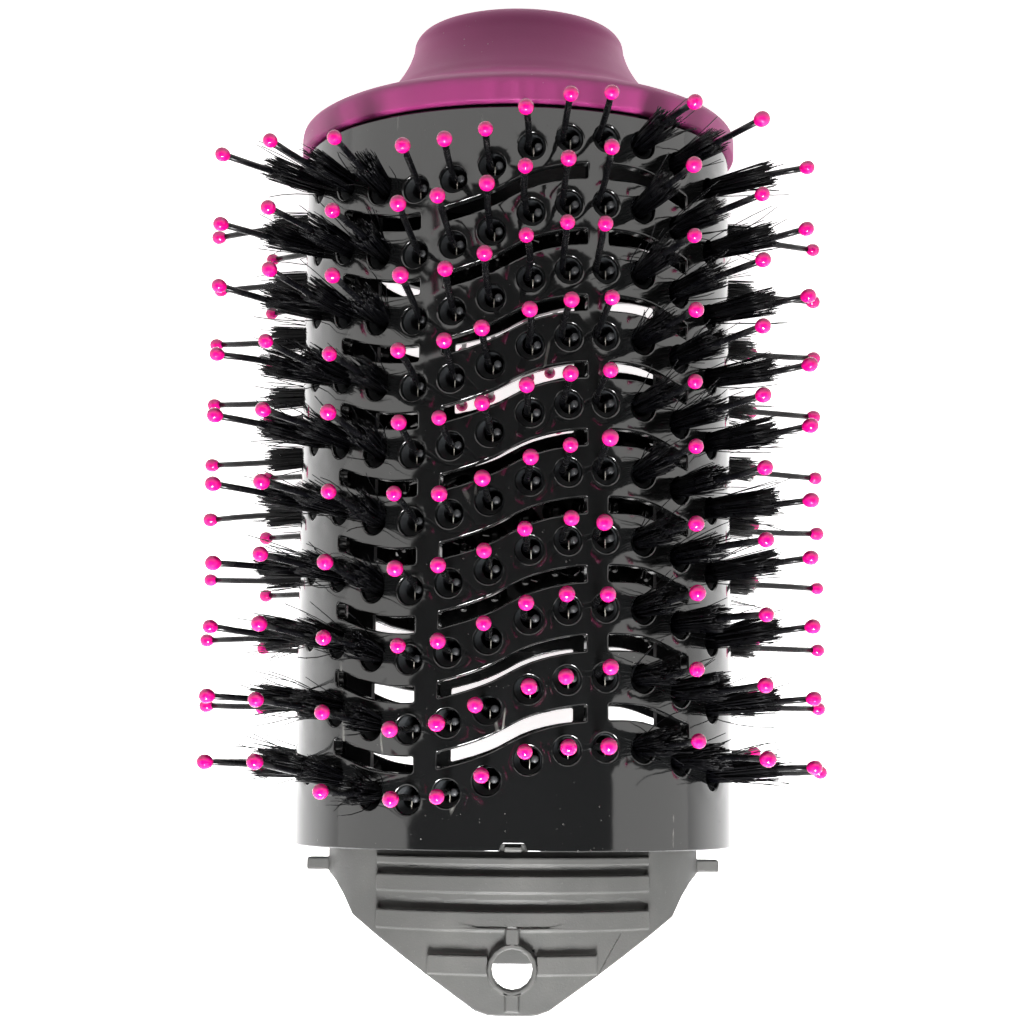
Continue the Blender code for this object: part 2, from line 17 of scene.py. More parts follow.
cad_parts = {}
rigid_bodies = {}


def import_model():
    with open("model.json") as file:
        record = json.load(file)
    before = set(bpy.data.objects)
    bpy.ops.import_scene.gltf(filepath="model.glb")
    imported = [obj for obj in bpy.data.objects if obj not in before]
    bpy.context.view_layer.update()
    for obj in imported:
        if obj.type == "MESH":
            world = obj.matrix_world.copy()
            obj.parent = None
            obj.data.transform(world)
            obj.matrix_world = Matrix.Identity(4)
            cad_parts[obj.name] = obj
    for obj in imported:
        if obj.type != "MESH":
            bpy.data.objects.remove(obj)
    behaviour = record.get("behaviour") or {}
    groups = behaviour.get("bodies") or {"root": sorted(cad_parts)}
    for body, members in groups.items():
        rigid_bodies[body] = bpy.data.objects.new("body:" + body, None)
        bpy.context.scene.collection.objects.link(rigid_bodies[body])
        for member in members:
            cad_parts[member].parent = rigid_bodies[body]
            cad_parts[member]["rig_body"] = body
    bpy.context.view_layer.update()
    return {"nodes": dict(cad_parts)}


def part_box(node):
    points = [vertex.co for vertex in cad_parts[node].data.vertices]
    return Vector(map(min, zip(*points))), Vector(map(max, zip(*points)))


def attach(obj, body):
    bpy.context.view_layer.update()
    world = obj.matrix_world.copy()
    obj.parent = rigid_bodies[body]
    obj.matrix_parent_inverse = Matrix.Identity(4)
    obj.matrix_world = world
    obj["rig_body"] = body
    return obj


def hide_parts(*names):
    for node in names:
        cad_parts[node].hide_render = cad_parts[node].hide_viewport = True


MM = 0.001
SEED = 7
BACK_SEED = 100  # added for the back half

# Barrel section and length, in mm
HALF_WIDTH = 35.0
HALF_DEPTH = 30.0
WALL = 1.8
RIM_Y = -57.85
SEAT_Y = 54.4
SEAM_GAP = 0.15

# Bristle field of one half
ROW_COUNT = 10
ROW_PITCH = 10.3
ANGLES = (-66.0, -50.0, -37.7, -26.3, -16.5, -6.5, 3.5, 13.0, 22.4, 33.2, 45.2, 61.2)  # of the columns
WAVE = (0.0, -1.5, -3.6, -4.2, -3.2, -1.3, 1.7, 3.2, 3.7, 3.6, 1.7, -0.5)  # their shifts along the barrel

# Sockets: a rounded mouth, a slanting funnel and a bore that is off the mouth's centre
SOCKET_RADIUS = 2.1
SOCKET_DEPTH = 3.9
SOCKET_FLOOR = 0.7  # thickness of its floor
SOCKET_BOSS = 0.5  # thickness of the wall round a socket, behind the shell
BOSS_ROUND = 0.3
BOSS_TAPER = 0.1
SOCKET_FLARE = 0.45  # width of the plain skin kept round a socket
SOCKET_SEGMENTS = 28
BORE_RADIUS = 1.66
BORE_LEDGE = 1.35  # depth of the funnel's foot
BORE_ROUND = 0.15  # rounding of that foot
BORE_SHIFT = (0.38, 0.32)  # of the bore from the mouth's centre: across, along the barrel

# Vent slots
SLOT_HALF = 1.175
SLOT_SPANS = ((-51.0, -25.2), (-18.9, 17.8), (23.6, 49.0))  # from angle to angle, in degrees
SLOT_STEP = 1.3  # spacing of the points along a slot
OUTER_FROM = 30.0  # an end farther round than this, in mm, is an outer one
OUTER_ROUND = 1.0  # rounding of an outer end's corners
INNER_ROUND = 0.35

# The notch in the lower rim for a latch's nose
NOTCH_HALF = 1.6
NOTCH_RISE = 1.1
NOTCH_SLANT = 0.35
NOTCH_ROUND = 0.3

# Balls of the tufted columns: (x, rise along the barrel, z) on the front half and on the back half
TUFTED_BALLS = {
    0: ((-45.5, 0.9, 27.0), (-52.9, 0.0, 18.5)),
    1: ((-36.8, 1.7, 37.8), (-44.8, 0.5, 31.1)),
    2: ((-26.6, 1.2, 45.2), (-34.0, 0.5, 40.5)),
    9: ((25.6, 0.5, 44.2), (32.5, 0.5, 41.3)),
    10: ((35.9, 0.6, 39.2), (43.0, 0.5, 33.0)),
    11: ((45.0, 1.5, 23.2), (52.9, 0.0, 22.5)),
}
BALL_RADIUS = 1.12
BALL_SIZES = (0.95, 1.06)  # the range of the balls' sizes, as shares of that radius
BALL_SIDES = 18
BALL_RINGS = 11
BALL_DRAWN = 1.28  # stretch of a ball's half towards its pin
BALL_POLE = 1.30  # end of that half, in radii from the centre
BALL_PINCH = 0.10  # narrowing of that half towards its end

# Pins: places in a socket are (sideways, along the barrel, depth below the skin)
PLAIN_BALL_X = -0.6  # from the socket's mouth
PLAIN_BALL_Z = 52.7
TOP_ROW_DROP = 1.8  # the pins beside the cap are bent down by this much
PIN_RADIUS = 0.5
PIN_SIDES = 10
PIN_RINGS = 7
PIN_IN_BALL = 0.6  # a pin ends this many radii before its ball's centre
LEAN = 0.4  # spread of the ball's place over its socket
TUFTED_LEAN = (0.5, 1.0, 0.5)  # share of that for a tuft's ball
SINK = 0.5  # share of it by which a plain ball may lie lower
BEND = 0.25  # spread of a pin's bow
PIN_ROOT = (-0.4, 0.3, 3.2)
STUB_ROOT = (1.05, 0.2, 3.2)
STUB_HEIGHTS = (0.0, 2.5, 2.7)
STUB_RADII = (0.58, 0.58, 0.48)
FOLD_DROP = 0.15  # sag of the fold between a pin and its stub
FOLD_RADIUS = 0.45
STAPLE_ENDS = ((0.34, 0.1, 1.2), (0.34, -1.3, 1.2))
STAPLE_RADIUS = 0.09

# Tufts
TUFT_ROOT = (0.2, 0.45, 1.6)
TUFT_LENGTH = 12.3
TUFT_FOOT = 1.35
TUFT_SPREAD = 0.75
STRAND_COUNT = 150
STRAND_RADIUS = 0.092
STRAND_TAPER = (1.0, 1.0, 0.97, 0.92, 0.75)
STRAND_SIDES = 3
STRAND_LENGTHS = (0.93, 1.04)  # the range of the strands' lengths, as shares of the tuft's
STRAND_SAG = 0.08
TURN_SPREAD = 0.25  # of a strand's end round the tuft, in radians
END_SPREAD = 0.16
STRAY_SHARE = 0.07
STRAY_FAN = 4.5  # a stray fans out this many times as far
STRAY_LENGTHS = (0.9, 1.2)
STRAY_SAG = 0.4

HALVES = (("front", 1, 0.0), ("back", -1, 1.4))  # name, side of the seam, shift of the pattern

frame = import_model()
rim_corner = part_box("barrel_front_shell")[0]
cap_low, cap_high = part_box("end_cap")
ORIGIN = Vector((0.0, rim_corner.y - RIM_Y * MM, (cap_low.z + cap_high.z) / 2))


# ---------------------------------------------------------------- section of the barrel

TURNS = np.radians(np.linspace(-90.0, 90.0, 1441))
SECTION = np.stack((HALF_WIDTH * np.sin(TURNS), HALF_DEPTH * np.cos(TURNS)), -1)
STEPS = np.linalg.norm(np.diff(SECTION, axis=0), axis=1)
ARC = np.concatenate(([0.0], np.cumsum(STEPS)))
ARC -= ARC[len(ARC) // 2]


def arc_at(angle):
    """Distance round the section from the front to an angle in degrees."""
    return np.interp(np.radians(angle), TURNS, ARC)


def wave(u):
    """Shift of the rows and slots along the barrel, as a smooth curve through the columns' shifts."""
    knots = arc_at(np.array(ANGLES))
    values = np.array(WAVE)
    slopes = np.gradient(values, knots)
    u = np.clip(u, knots[0], knots[-1])
    index = np.clip(np.searchsorted(knots, u) - 1, 0, len(knots) - 2)
    span = knots[index + 1] - knots[index]
    t = (u - knots[index]) / span
    return (
        values[index] * (1 + 2 * t) * (1 - t) ** 2 + slopes[index] * span * t * (1 - t) ** 2
        + values[index + 1] * t * t * (3 - 2 * t) + slopes[index + 1] * span * t * t * (t - 1)
    )


def on_barrel(u, y, depth):
    """Points below the skin, with the skin's outward and sideways directions there."""
    turn = np.interp(u, ARC, TURNS)
    out = np.stack((np.sin(turn) / HALF_WIDTH, np.zeros_like(turn), np.cos(turn) / HALF_DEPTH), -1)
    out /= np.linalg.norm(out, axis=-1, keepdims=True)
    point = np.stack((HALF_WIDTH * np.sin(turn), y, HALF_DEPTH * np.cos(turn)), -1)
    side = np.stack((out[..., 2], np.zeros_like(turn), -out[..., 0]), -1)
    return point - out * np.asarray(depth)[..., None], out, side


def facet_angle(index):
    """The angle of a socket's centre: the middle of its column's share of the section."""
    edges = [(first + second) / 2 for first, second in zip(ANGLES, ANGLES[1:])]
    edges = [2 * ANGLES[0] - edges[0], *edges, 2 * ANGLES[-1] - edges[-1]]
    low, high = radians(edges[index]), radians(edges[index + 1])
    return np.degrees(np.arctan2(sin(low) + sin(high), cos(low) + cos(high)))


SOCKET_U = [float(arc_at(facet_angle(index))) for index in range(len(ANGLES))]


def row_y(row):
    """Mean place of a row along the barrel: row 0 is nearest the cap, and halves are slots."""
    return ((ROW_COUNT - 1) / 2 - row) * ROW_PITCH


# ---------------------------------------------------------------- objects


def add_mesh(name, points, faces, material, normals, side):
    """A piece of the head from points in mm in the barrel's frame; side = -1 mirrors it to the back half."""
    points = points * (1.0, 1.0, side)
    if side < 0:
        faces = [face[::-1] for face in faces]
    mesh = bpy.data.meshes.new(name)
    mesh.from_pydata((points * MM + np.array(ORIGIN)).tolist(), [], faces)
    mesh.shade_smooth()
    if normals is not None:
        mesh.normals_split_custom_set_from_vertices((normals * (1.0, 1.0, side)).tolist())
    mesh.materials.append(material)
    piece = bpy.data.objects.new(name, mesh)
    bpy.context.scene.collection.objects.link(piece)
    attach(piece, "head")
    return piece


class Sheet:
    """Points and faces of a piece, gathered part by part."""

    def __init__(self):
        self.points = []
        self.normals = []
        self.faces = []
        self.count = 0

    def add(self, points, normals=None):
        """Adds points and returns their numbers."""
        points = np.asarray(points, float).reshape(-1, 3)
        self.points.append(points)
        self.normals.append(np.zeros_like(points) if normals is None else normals)
        self.count += len(points)
        return list(range(self.count - len(points), self.count))

    def tube(self, rings):
        """Faces between rings of point numbers of one length."""
        for low, high in zip(rings, rings[1:]):
            count = len(low)
            for here in range(count):
                there = (here + 1) % count
                self.faces.append((low[here], low[there], high[there], high[here]))

    def fan(self, ring, point):
        """Faces from a ring of point numbers to one point."""
        count = len(ring)
        self.faces += [(ring[here], ring[(here + 1) % count], point) for here in range(count)]

    def closed_tube(self, rings):
        """A tube with a flat face at each end."""
        self.tube(rings)
        self.faces.append(tuple(rings[0][::-1]))
        self.faces.append(tuple(rings[-1]))

    def piece(self, name, material, shaded=False, side=1):
        """The gathered parts as one object; a shaded one keeps the normals that came with its points."""
        normals = np.concatenate(self.normals) if shaded else None
        return add_mesh(name, np.concatenate(self.points), self.faces, material, normals, side)


# ---------------------------------------------------------------- materials


class Shader:
    """A Principled material with short calls for its nodes."""

    def __init__(self, name, colour, roughness, **sockets):
        self.material = bpy.data.materials.new(name)
        self.material.use_nodes = True
        self.nodes = self.material.node_tree.nodes
        self.links = self.material.node_tree.links
        self.base = self.nodes["Principled BSDF"]
        self.base.inputs["Base Color"].default_value = (*colour, 1.0)
        self.base.inputs["Roughness"].default_value = roughness
        for label, value in sockets.items():
            self.base.inputs[label.replace("_", " ")].default_value = value
        place = self.nodes.new("ShaderNodeTexCoord")
        self.place = place.outputs["Object"]

    def node(self, kind, inputs=(), **settings):
        """A node with its settings and its linked or fixed inputs."""
        made = self.nodes.new(kind)
        for label, value in settings.items():
            setattr(made, label, value)
        for label, value in dict(inputs).items():
            if isinstance(value, bpy.types.NodeSocket):
                self.links.new(value, made.inputs[label])
            else:
                made.inputs[label].default_value = value
        return made

    def noise(self, scale, detail=3.0):
        """Noise at a scale in 1/m."""
        inputs = {"Vector": self.place, "Scale": scale, "Detail": detail}
        return self.node("ShaderNodeTexNoise", inputs).outputs[0]

    def cells(self, scale, feature="F1", stretch=(1.0, 1.0, 1.0), turn=0.0):
        """Distance to the nearest of scattered points, or to the edge between two of them."""
        inputs = {"Vector": self.place, "Scale": stretch, "Rotation": (0, 0, turn)}
        placed = self.node("ShaderNodeMapping", inputs).outputs[0]
        found = self.node("ShaderNodeTexVoronoi", {"Vector": placed, "Scale": scale}, feature=feature)
        return found.outputs["Distance"]

    def between(self, value, low, high, first=0.0, last=1.0):
        """Maps a value from low..high to first..last, clamped."""
        inputs = {"Value": value, "From Min": low, "From Max": high, "To Min": first, "To Max": last}
        return self.node("ShaderNodeMapRange", inputs).outputs[0]

    def maths(self, operation, first, second):
        """The result of one operation on two values."""
        return self.node("ShaderNodeMath", {0: first, 1: second}, operation=operation).outputs[0]

    def times(self, first, second):
        """The product of two values."""
        return self.maths("MULTIPLY", first, second)

    def most(self, first, second):
        """The larger of two values."""
        return self.maths("MAXIMUM", first, second)

    def less(self, first, second):
        """1 where the first value is less than the second, and 0 elsewhere."""
        return self.maths("LESS_THAN", first, second)

    def mixed(self, share, first, second):
        """Two colours mixed by a share."""
        mix = self.node("ShaderNodeMix", data_type="RGBA")
        self.links.new(share, mix.inputs["Factor"])
        for slot, colour in ((6, first), (7, second)):
            if isinstance(colour, bpy.types.NodeSocket):
                self.links.new(colour, mix.inputs[slot])
            else:
                mix.inputs[slot].default_value = (*colour, 1.0)
        return mix.outputs[2]

    def bump(self, height, distance, strength=1.0):
        """Bump of a height pattern, in metres of distance."""
        made = self.node("ShaderNodeBump", {"Height": height, "Distance": distance, "Strength": strength})
        self.links.new(made.outputs[0], self.base.inputs["Normal"])

    def drive(self, label, value):
        """Links a value to a socket of the Principled shader."""
        self.links.new(value, self.base.inputs[label])

    def tint(self, value, low, high, first, last):
        """Base colour from first to last, as a value goes from low to high."""
        self.drive("Base Color", self.mixed(self.between(value, low, high), first, last))


SHELL_TONE = (0.0065, 0.0068, 0.0070)


def gloss_black(name, dust):
    """Glossy moulded plastic with dust specks, hairline scratches and faint mould flow."""
    look = Shader(name, SHELL_TONE, 0.13, Specular_IOR_Level=0.8)
    low_down = look.node("ShaderNodeSeparateXYZ", {"Vector": look.place}).outputs["Y"]
    near_rim = look.between(low_down, -0.022, -0.050, 0.35, 1.0)
    patches = look.between(look.noise(60.0, 4.0), 0.42, 0.68)
    sizes = look.between(look.noise(420.0, 2.0), 0.35, 0.75, 0.0, 0.16)
    specks = look.times(look.times(look.less(look.cells(900.0), sizes), patches), near_rim)
    marks = look.between(look.cells(80.0, "DISTANCE_TO_EDGE", (1.0, 0.16, 1.0), 0.5), 0.012, 0.004)
    marks = look.times(look.times(marks, look.between(look.noise(95.0), 0.60, 0.66)), near_rim)
    spots = look.most(specks, marks)
    look.drive("Base Color", look.mixed(look.times(spots, dust), SHELL_TONE, (0.42, 0.41, 0.38)))
    haze = look.between(look.noise(26.0, 5.0), 0.35, 0.75, 0.05, 0.12)
    look.drive("Roughness", look.most(haze, look.times(spots, 0.55)))
    look.bump(look.noise(190.0, 2.0), 0.00002, 0.35)
    return look.material


def bristle_black(name, roughness, shine=0.3):
    """Black nylon with drawn lines along the filament."""
    look = Shader(name, (0.003, 0.003, 0.004), roughness, Specular_IOR_Level=shine)
    grain = look.noise(700.0, 2.0)
    look.drive("Roughness", look.between(grain, 0.3, 0.7, roughness - 0.04, roughness + 0.08))
    look.tint(grain, 0.35, 0.8, (0.002, 0.002, 0.003), (0.006, 0.006, 0.007))
    return look.material


def stub_painted_reflection(name):
    """The fold and cut end of a nylon pin, matt; its paler grey is a painted reflection of the bright room
    on the cut end.
    """
    look = Shader(name, (0.05, 0.053, 0.058), 0.5)
    grain = look.noise(1500.0, 2.0)
    look.tint(grain, 0.3, 0.7, (0.02, 0.022, 0.025), (0.045, 0.047, 0.050))
    look.bump(grain, 0.00003, 0.5)
    return look.material


def socket_black(name):
    """The unpolished funnel of a socket."""
    look = Shader(name, (0.02, 0.022, 0.024), 0.5, Specular_IOR_Level=0.3)
    grain = look.noise(1100.0, 3.0)
    look.tint(grain, 0.3, 0.7, (0.016, 0.018, 0.020), (0.027, 0.029, 0.031))
    look.bump(grain, 0.00003, 0.4)
    return look.material


def ball_pink(name):
    """Dipped resin: hot pink, glossy, deeper where it is thick."""
    depth = {"Subsurface_Weight": 0.2, "Subsurface_Scale": 0.0008, "Subsurface_Radius": (1.0, 0.05, 0.3)}
    look = Shader(name, (0.73, 0.004, 0.27), 0.08, Specular_IOR_Level=0.42, **depth)
    look.tint(look.noise(900.0, 2.0), 0.3, 0.75, (0.70, 0.002, 0.20), (0.82, 0.005, 0.25))
    look.bump(look.noise(1400.0, 1.0), 0.00002, 0.3)
    return look.material


def soft_plum(name):
    """Soft-touch paint: satin, with a very fine tooth, handling marks and pale dust."""
    look = Shader(name, (0.33, 0.045, 0.17), 0.5, Specular_IOR_Level=0.3)
    cloud = look.between(look.noise(34.0, 4.0), 0.3, 0.7)
    paint = look.mixed(cloud, (0.38, 0.034, 0.19), (0.46, 0.050, 0.24))
    patches = look.between(look.noise(80.0), 0.55, 0.7, 0.0, 0.5)
    specks = look.times(look.less(look.cells(700.0), 0.09), patches)
    look.drive("Base Color", look.mixed(specks, paint, (0.60, 0.42, 0.52)))
    look.drive("Roughness", look.between(look.noise(48.0, 5.0), 0.3, 0.7, 0.40, 0.56))
    look.bump(look.noise(2600.0, 3.0), 0.00003, 0.5)
    return look.material


def charcoal(name):
    """Spark-eroded charcoal plastic with rubbed pale patches."""
    look = Shader(name, (0.13, 0.13, 0.125), 0.52, Specular_IOR_Level=0.2)
    fine = look.noise(3200.0, 4.0)
    rubbed = look.between(look.noise(70.0, 5.0), 0.45, 0.72)
    tone = look.mixed(rubbed, (0.090, 0.090, 0.087), (0.125, 0.124, 0.119))
    look.drive("Base Color", look.mixed(look.between(fine, 0.66, 0.84, 0.0, 0.6), tone, (0.22, 0.22, 0.21)))
    look.drive("Roughness", look.between(rubbed, 0.0, 1.0, 0.50, 0.40))
    look.bump(fine, 0.00006, 0.6)
    return look.material


def inner_painted_shade(name):
    """Inner moulding, matt with a fine texture, made near black as painted shade for the dark inside of the
    barrel.
    """
    look = Shader(name, (0.014, 0.014, 0.015), 0.6, Specular_IOR_Level=0.2)
    grain = look.noise(1200.0, 3.0)
    look.drive("Base Color", look.mixed(grain, (0.010, 0.010, 0.011), (0.020, 0.020, 0.021)))
    look.drive("Roughness", look.between(grain, 0.2, 0.8, 0.5, 0.68))
    look.bump(grain, 0.00004, 0.5)
    return look.material


def bright_steel(name):
    """Plated steel with fine turning marks."""
    look = Shader(name, (0.75, 0.71, 0.62), 0.4, Metallic=0.45)
    grain = look.noise(1800.0, 2.0)
    look.drive("Roughness", look.between(grain, 0.3, 0.7, 0.30, 0.45))
    look.drive("Base Color", look.mixed(grain, (0.66, 0.62, 0.54), (0.82, 0.78, 0.68)))
    return look.material


SHELL_BLACK = gloss_black("shell_gloss_black", 0.5)
PIN_BLACK = bristle_black("pin_black", 0.22)
STRAND_BLACK = bristle_black("strand_black", 0.30, 0.15)
PAINTED_STUB_REFLECTION = stub_painted_reflection("stub_painted_reflection")
SOCKET_BLACK = socket_black("socket_black")
PINK = ball_pink("ball_pink")
PLUM = soft_plum("cap_soft_plum")
CHARCOAL = charcoal("frame_charcoal")
INNER_PAINTED_SHADE = inner_painted_shade("inner_painted_shade")
STEEL = bright_steel("staple_steel")


# ---------------------------------------------------------------- shells

EDGE_ROUND = 0.3  # radius of every moulded edge
EDGE_STEPS = 4
DRAFT = 0.02  # narrowing of an opening through the wall
SWELL_HEIGHT = 0.055  # height of the faint swell round each socket
SWELL_RADIUS = 3.3
SWELL_WIDTH = 1.1

# Free points of the skin, and how far they stay from what is cut out of it
SKIN_STEP = 2.0
EDGE_FREE = 1.2
FAR_EDGE_FREE = 1.0
SOCKET_FREE = 1.35
SLOT_FREE = 0.9
NOTCH_FREE = (3.6, 2.6)  # to either side of the notch's middle, above the rim


def socket_centres(shift):
    """The (u, y) centre of every socket, row by row."""
    return [(u, row_y(row) + shift + rise) for row in range(ROW_COUNT) for u, rise in zip(SOCKET_U, WAVE)]


def relief(u, y, shift):
    """Height of the mould's faint swells over the plain section, with its two slopes."""
    centres = np.array(socket_centres(shift))
    height, slope_u, slope_y = (np.zeros(len(u)) for _ in range(3))
    for cu, cy in centres:
        du, dy = u - cu, y - cy
        away = np.maximum(np.hypot(du, dy), 1e-6)
        part = SWELL_HEIGHT * np.exp(-(((away - SWELL_RADIUS) / SWELL_WIDTH) ** 2))
        steep = -2 * (away - SWELL_RADIUS) / SWELL_WIDTH**2 * part / away
        height += part
        slope_u += steep * du
        slope_y += steep * dy
    return height, slope_u, slope_y


def path_normals(path):
    """Outward normals of a closed counter-clockwise path, lengthened at its corners."""
    ahead = np.roll(path, -1, 0) - path
    behind = path - np.roll(path, 1, 0)
    ahead /= np.linalg.norm(ahead, axis=1, keepdims=True)
    behind /= np.linalg.norm(behind, axis=1, keepdims=True)
    first = np.stack((behind[:, 1], -behind[:, 0]), -1)
    second = np.stack((ahead[:, 1], -ahead[:, 0]), -1)
    middle = first + second
    middle /= np.linalg.norm(middle, axis=1, keepdims=True)
    return middle / np.maximum((middle * first).sum(1), 0.5)[:, None]


def rounded(corners, radii, steps=4):
    """A closed path through corners, each rounded by its own radius."""
    path = []
    count = len(corners)
    for index, (corner, radius) in enumerate(zip(corners, radii)):
        corner = np.array(corner)
        if not radius:
            path.append(corner)
            continue
        back = np.array(corners[index - 1]) - corner
        on = np.array(corners[(index + 1) % count]) - corner
        back_length, on_length = np.linalg.norm(back), np.linalg.norm(on)
        cut = min(radius, 0.45 * back_length, 0.45 * on_length)
        start, end = corner + back / back_length * cut, corner + on / on_length * cut
        for step in range(steps + 1):
            t = step / steps
            path.append((1 - t) ** 2 * start + 2 * t * (1 - t) * corner + t * t * end)
    return np.array(path)


def slot_path(span, middle_y):
    """The outline of one slot, with rounded outer ends and squarer inner ends."""
    start, end = (float(arc_at(angle)) for angle in span)
    count = max(8, round((end - start) / SLOT_STEP))
    us = np.linspace(start, end, count)
    ys = middle_y + wave(us)
    bottom = list(zip(us, ys - SLOT_HALF))
    top = list(zip(us, ys + SLOT_HALF))[::-1]
    left = OUTER_ROUND if start < -OUTER_FROM else INNER_ROUND
    right = OUTER_ROUND if end > OUTER_FROM else INNER_ROUND
    ends = {0: left, count - 1: right, count: right, 2 * count - 1: left}
    path = []
    corners = bottom + top
    for index, corner in enumerate(corners):
        if index in ends:
            behind, ahead = corners[index - 1], corners[(index + 1) % len(corners)]
            path.extend(rounded([behind, corner, ahead], (0.0, ends[index], 0.0))[1:-1])
        else:
            path.append(np.array(corner))
    return np.array(path)


def socket_path(u, y):
    """A socket's mouth."""
    turns = np.arange(SOCKET_SEGMENTS) * 2 * pi / SOCKET_SEGMENTS
    return np.stack((u + SOCKET_RADIUS * np.cos(turns), y + SOCKET_RADIUS * np.sin(turns)), -1)


def shell_outline():
    """The edge of a half shell, with the notch in its lower rim for the latch's nose."""
    reach = float(ARC[-1]) - SEAM_GAP
    foot = NOTCH_HALF + NOTCH_SLANT
    corners = [
        (-reach, RIM_Y), (-foot, RIM_Y), (-NOTCH_HALF, RIM_Y + NOTCH_RISE), (NOTCH_HALF, RIM_Y + NOTCH_RISE),
        (foot, RIM_Y), (reach, RIM_Y), (reach, SEAT_Y), (-reach, SEAT_Y),
    ]
    path = rounded(corners, (0.0, *[NOTCH_ROUND] * 4, 0.0, 0.0, 0.0), 3)
    dense = []
    for here, there in zip(path, np.roll(path, -1, 0)):
        pieces = max(1, int(np.linalg.norm(there - here) / SKIN_STEP))
        dense.extend(here + (there - here) * piece / pieces for piece in range(pieces))
    return np.array(dense)


def edge_profile():
    """(offset, depth, tilt) down a rounded edge: the tilt turns the normal towards the opening."""
    tilts = [pi / 2 * step / EDGE_STEPS for step in range(EDGE_STEPS + 1)]
    return [(EDGE_ROUND * (1 - sin(tilt)), EDGE_ROUND * (1 - cos(tilt)), tilt) for tilt in tilts]


# Rings of a socket, of its bore and of the boss behind it: (offset from the path, depth, tilt)
FUNNEL_TOP = (-0.06, 2 * EDGE_ROUND, pi / 3)
BORE_RINGS = (
    (-0.08, BORE_LEDGE - BORE_ROUND, pi / 3),
    (0.0, BORE_LEDGE, pi / 4),
    (0.0, BORE_LEDGE + BORE_ROUND, pi / 2),
    (0.0, SOCKET_DEPTH, pi / 2),
)
BOSS_RINGS = (
    (SOCKET_FLARE, WALL, pi),
    (SOCKET_BOSS, WALL + BOSS_ROUND, -pi / 2),
    (SOCKET_BOSS - BOSS_TAPER, SOCKET_DEPTH + SOCKET_FLOOR - BOSS_TAPER, -pi / 2),
)


class Skin(Sheet):
    """A half shell in the making, whose rings lie beside paths on the barrel's skin."""

    def __init__(self, shift):
        super().__init__()
        self.shift = shift
        self.unpolished = []  # numbers of the faces inside the sockets

    def ring(self, path, normals, offset, depth, tilt, lift=True):
        """Adds a ring beside a path; offset is away from the opening."""
        flat = path + normals * offset
        height = slope_u = slope_y = np.zeros(len(flat))
        if lift:
            height, slope_u, slope_y = relief(flat[:, 0], flat[:, 1], self.shift)
        point, out, across = on_barrel(flat[:, 0], flat[:, 1], depth - height)
        unit = normals / np.linalg.norm(normals, axis=1, keepdims=True)
        along = np.array((0.0, 1.0, 0.0))
        skin = out - across * slope_u[:, None] - along * slope_y[:, None]
        inward = -(across * unit[:, :1] + along * unit[:, 1:])
        return self.add(point, skin * cos(tilt) + inward * sin(tilt))

    def edge_rings(self, path, normals):
        """The rings down a rounded edge."""
        return [self.ring(path, normals, *step) for step in edge_profile()]

    def through(self, path):
        """An edge through the wall; returns its loop, and its rings on the skin and on the inner face."""
        normals = path_normals(path)
        rings = self.edge_rings(path, normals)
        rings.append(self.ring(path, normals, DRAFT, WALL - EDGE_ROUND, pi / 2, False))
        rings.append(self.ring(path, normals, EDGE_ROUND, WALL, pi, False))
        self.tube(rings)
        return path + normals * EDGE_ROUND, rings[0], rings[-1]

    def socket(self, path):
        """A blind socket; returns its loop, and its rings on the skin and on the inner face."""
        normals = path_normals(path)
        any_way = np.array([[1.0, 0.0]])
        centre = path.mean(0, keepdims=True)
        bore = centre + np.array(BORE_SHIFT)
        foot = bore + (path - centre) * (BORE_RADIUS / SOCKET_RADIUS)

        lip = [self.ring(path, normals, SOCKET_FLARE, 0.0, 0.0), *self.edge_rings(path, normals)]
        lip.append(self.ring(path, normals, *FUNNEL_TOP, lift=False))
        inside = [lip[-1], *(self.ring(foot, normals, *step, lift=False) for step in BORE_RINGS)]
        self.fan(inside[-1], self.ring(bore, any_way, 0.0, SOCKET_DEPTH, 0.0, False)[0])

        boss = [self.ring(path, normals, *step, lift=False) for step in BOSS_RINGS]
        self.tube([ring[::-1] for ring in boss])
        self.fan(boss[-1][::-1], self.ring(centre, any_way, 0.0, SOCKET_DEPTH + SOCKET_FLOOR, pi, False)[0])

        self.tube(lip)
        first = len(self.faces)
        self.tube(inside)
        self.unpolished += range(first, len(self.faces))
        return path + normals * SOCKET_FLARE, lip[0], boss[0]

    def span(self, loops, extra, outer, inner):
        """Faces between the loops on the skin and on the inner face, through the free points as well."""
        flat = [Vector(point) for point in np.concatenate((*loops, extra)).tolist()]
        outlines = []
        first = 0
        for loop in loops:
            outlines.append(list(range(first, first + len(loop))))
            first += len(loop)
        outlines[0] = outlines[0][::-1]
        found = delaunay_2d_cdt(flat, [], outlines, 1, 1e-5)
        source = [origins[0] for origins in found[3]]
        for triangle, owners in zip(found[2], found[5]):
            if any(owner > 0 for owner in owners):
                continue
            corners = [source[corner] for corner in triangle]
            self.faces.append(tuple(outer[corner] for corner in corners))
            self.faces.append(tuple(inner[corner] for corner in corners[::-1]))


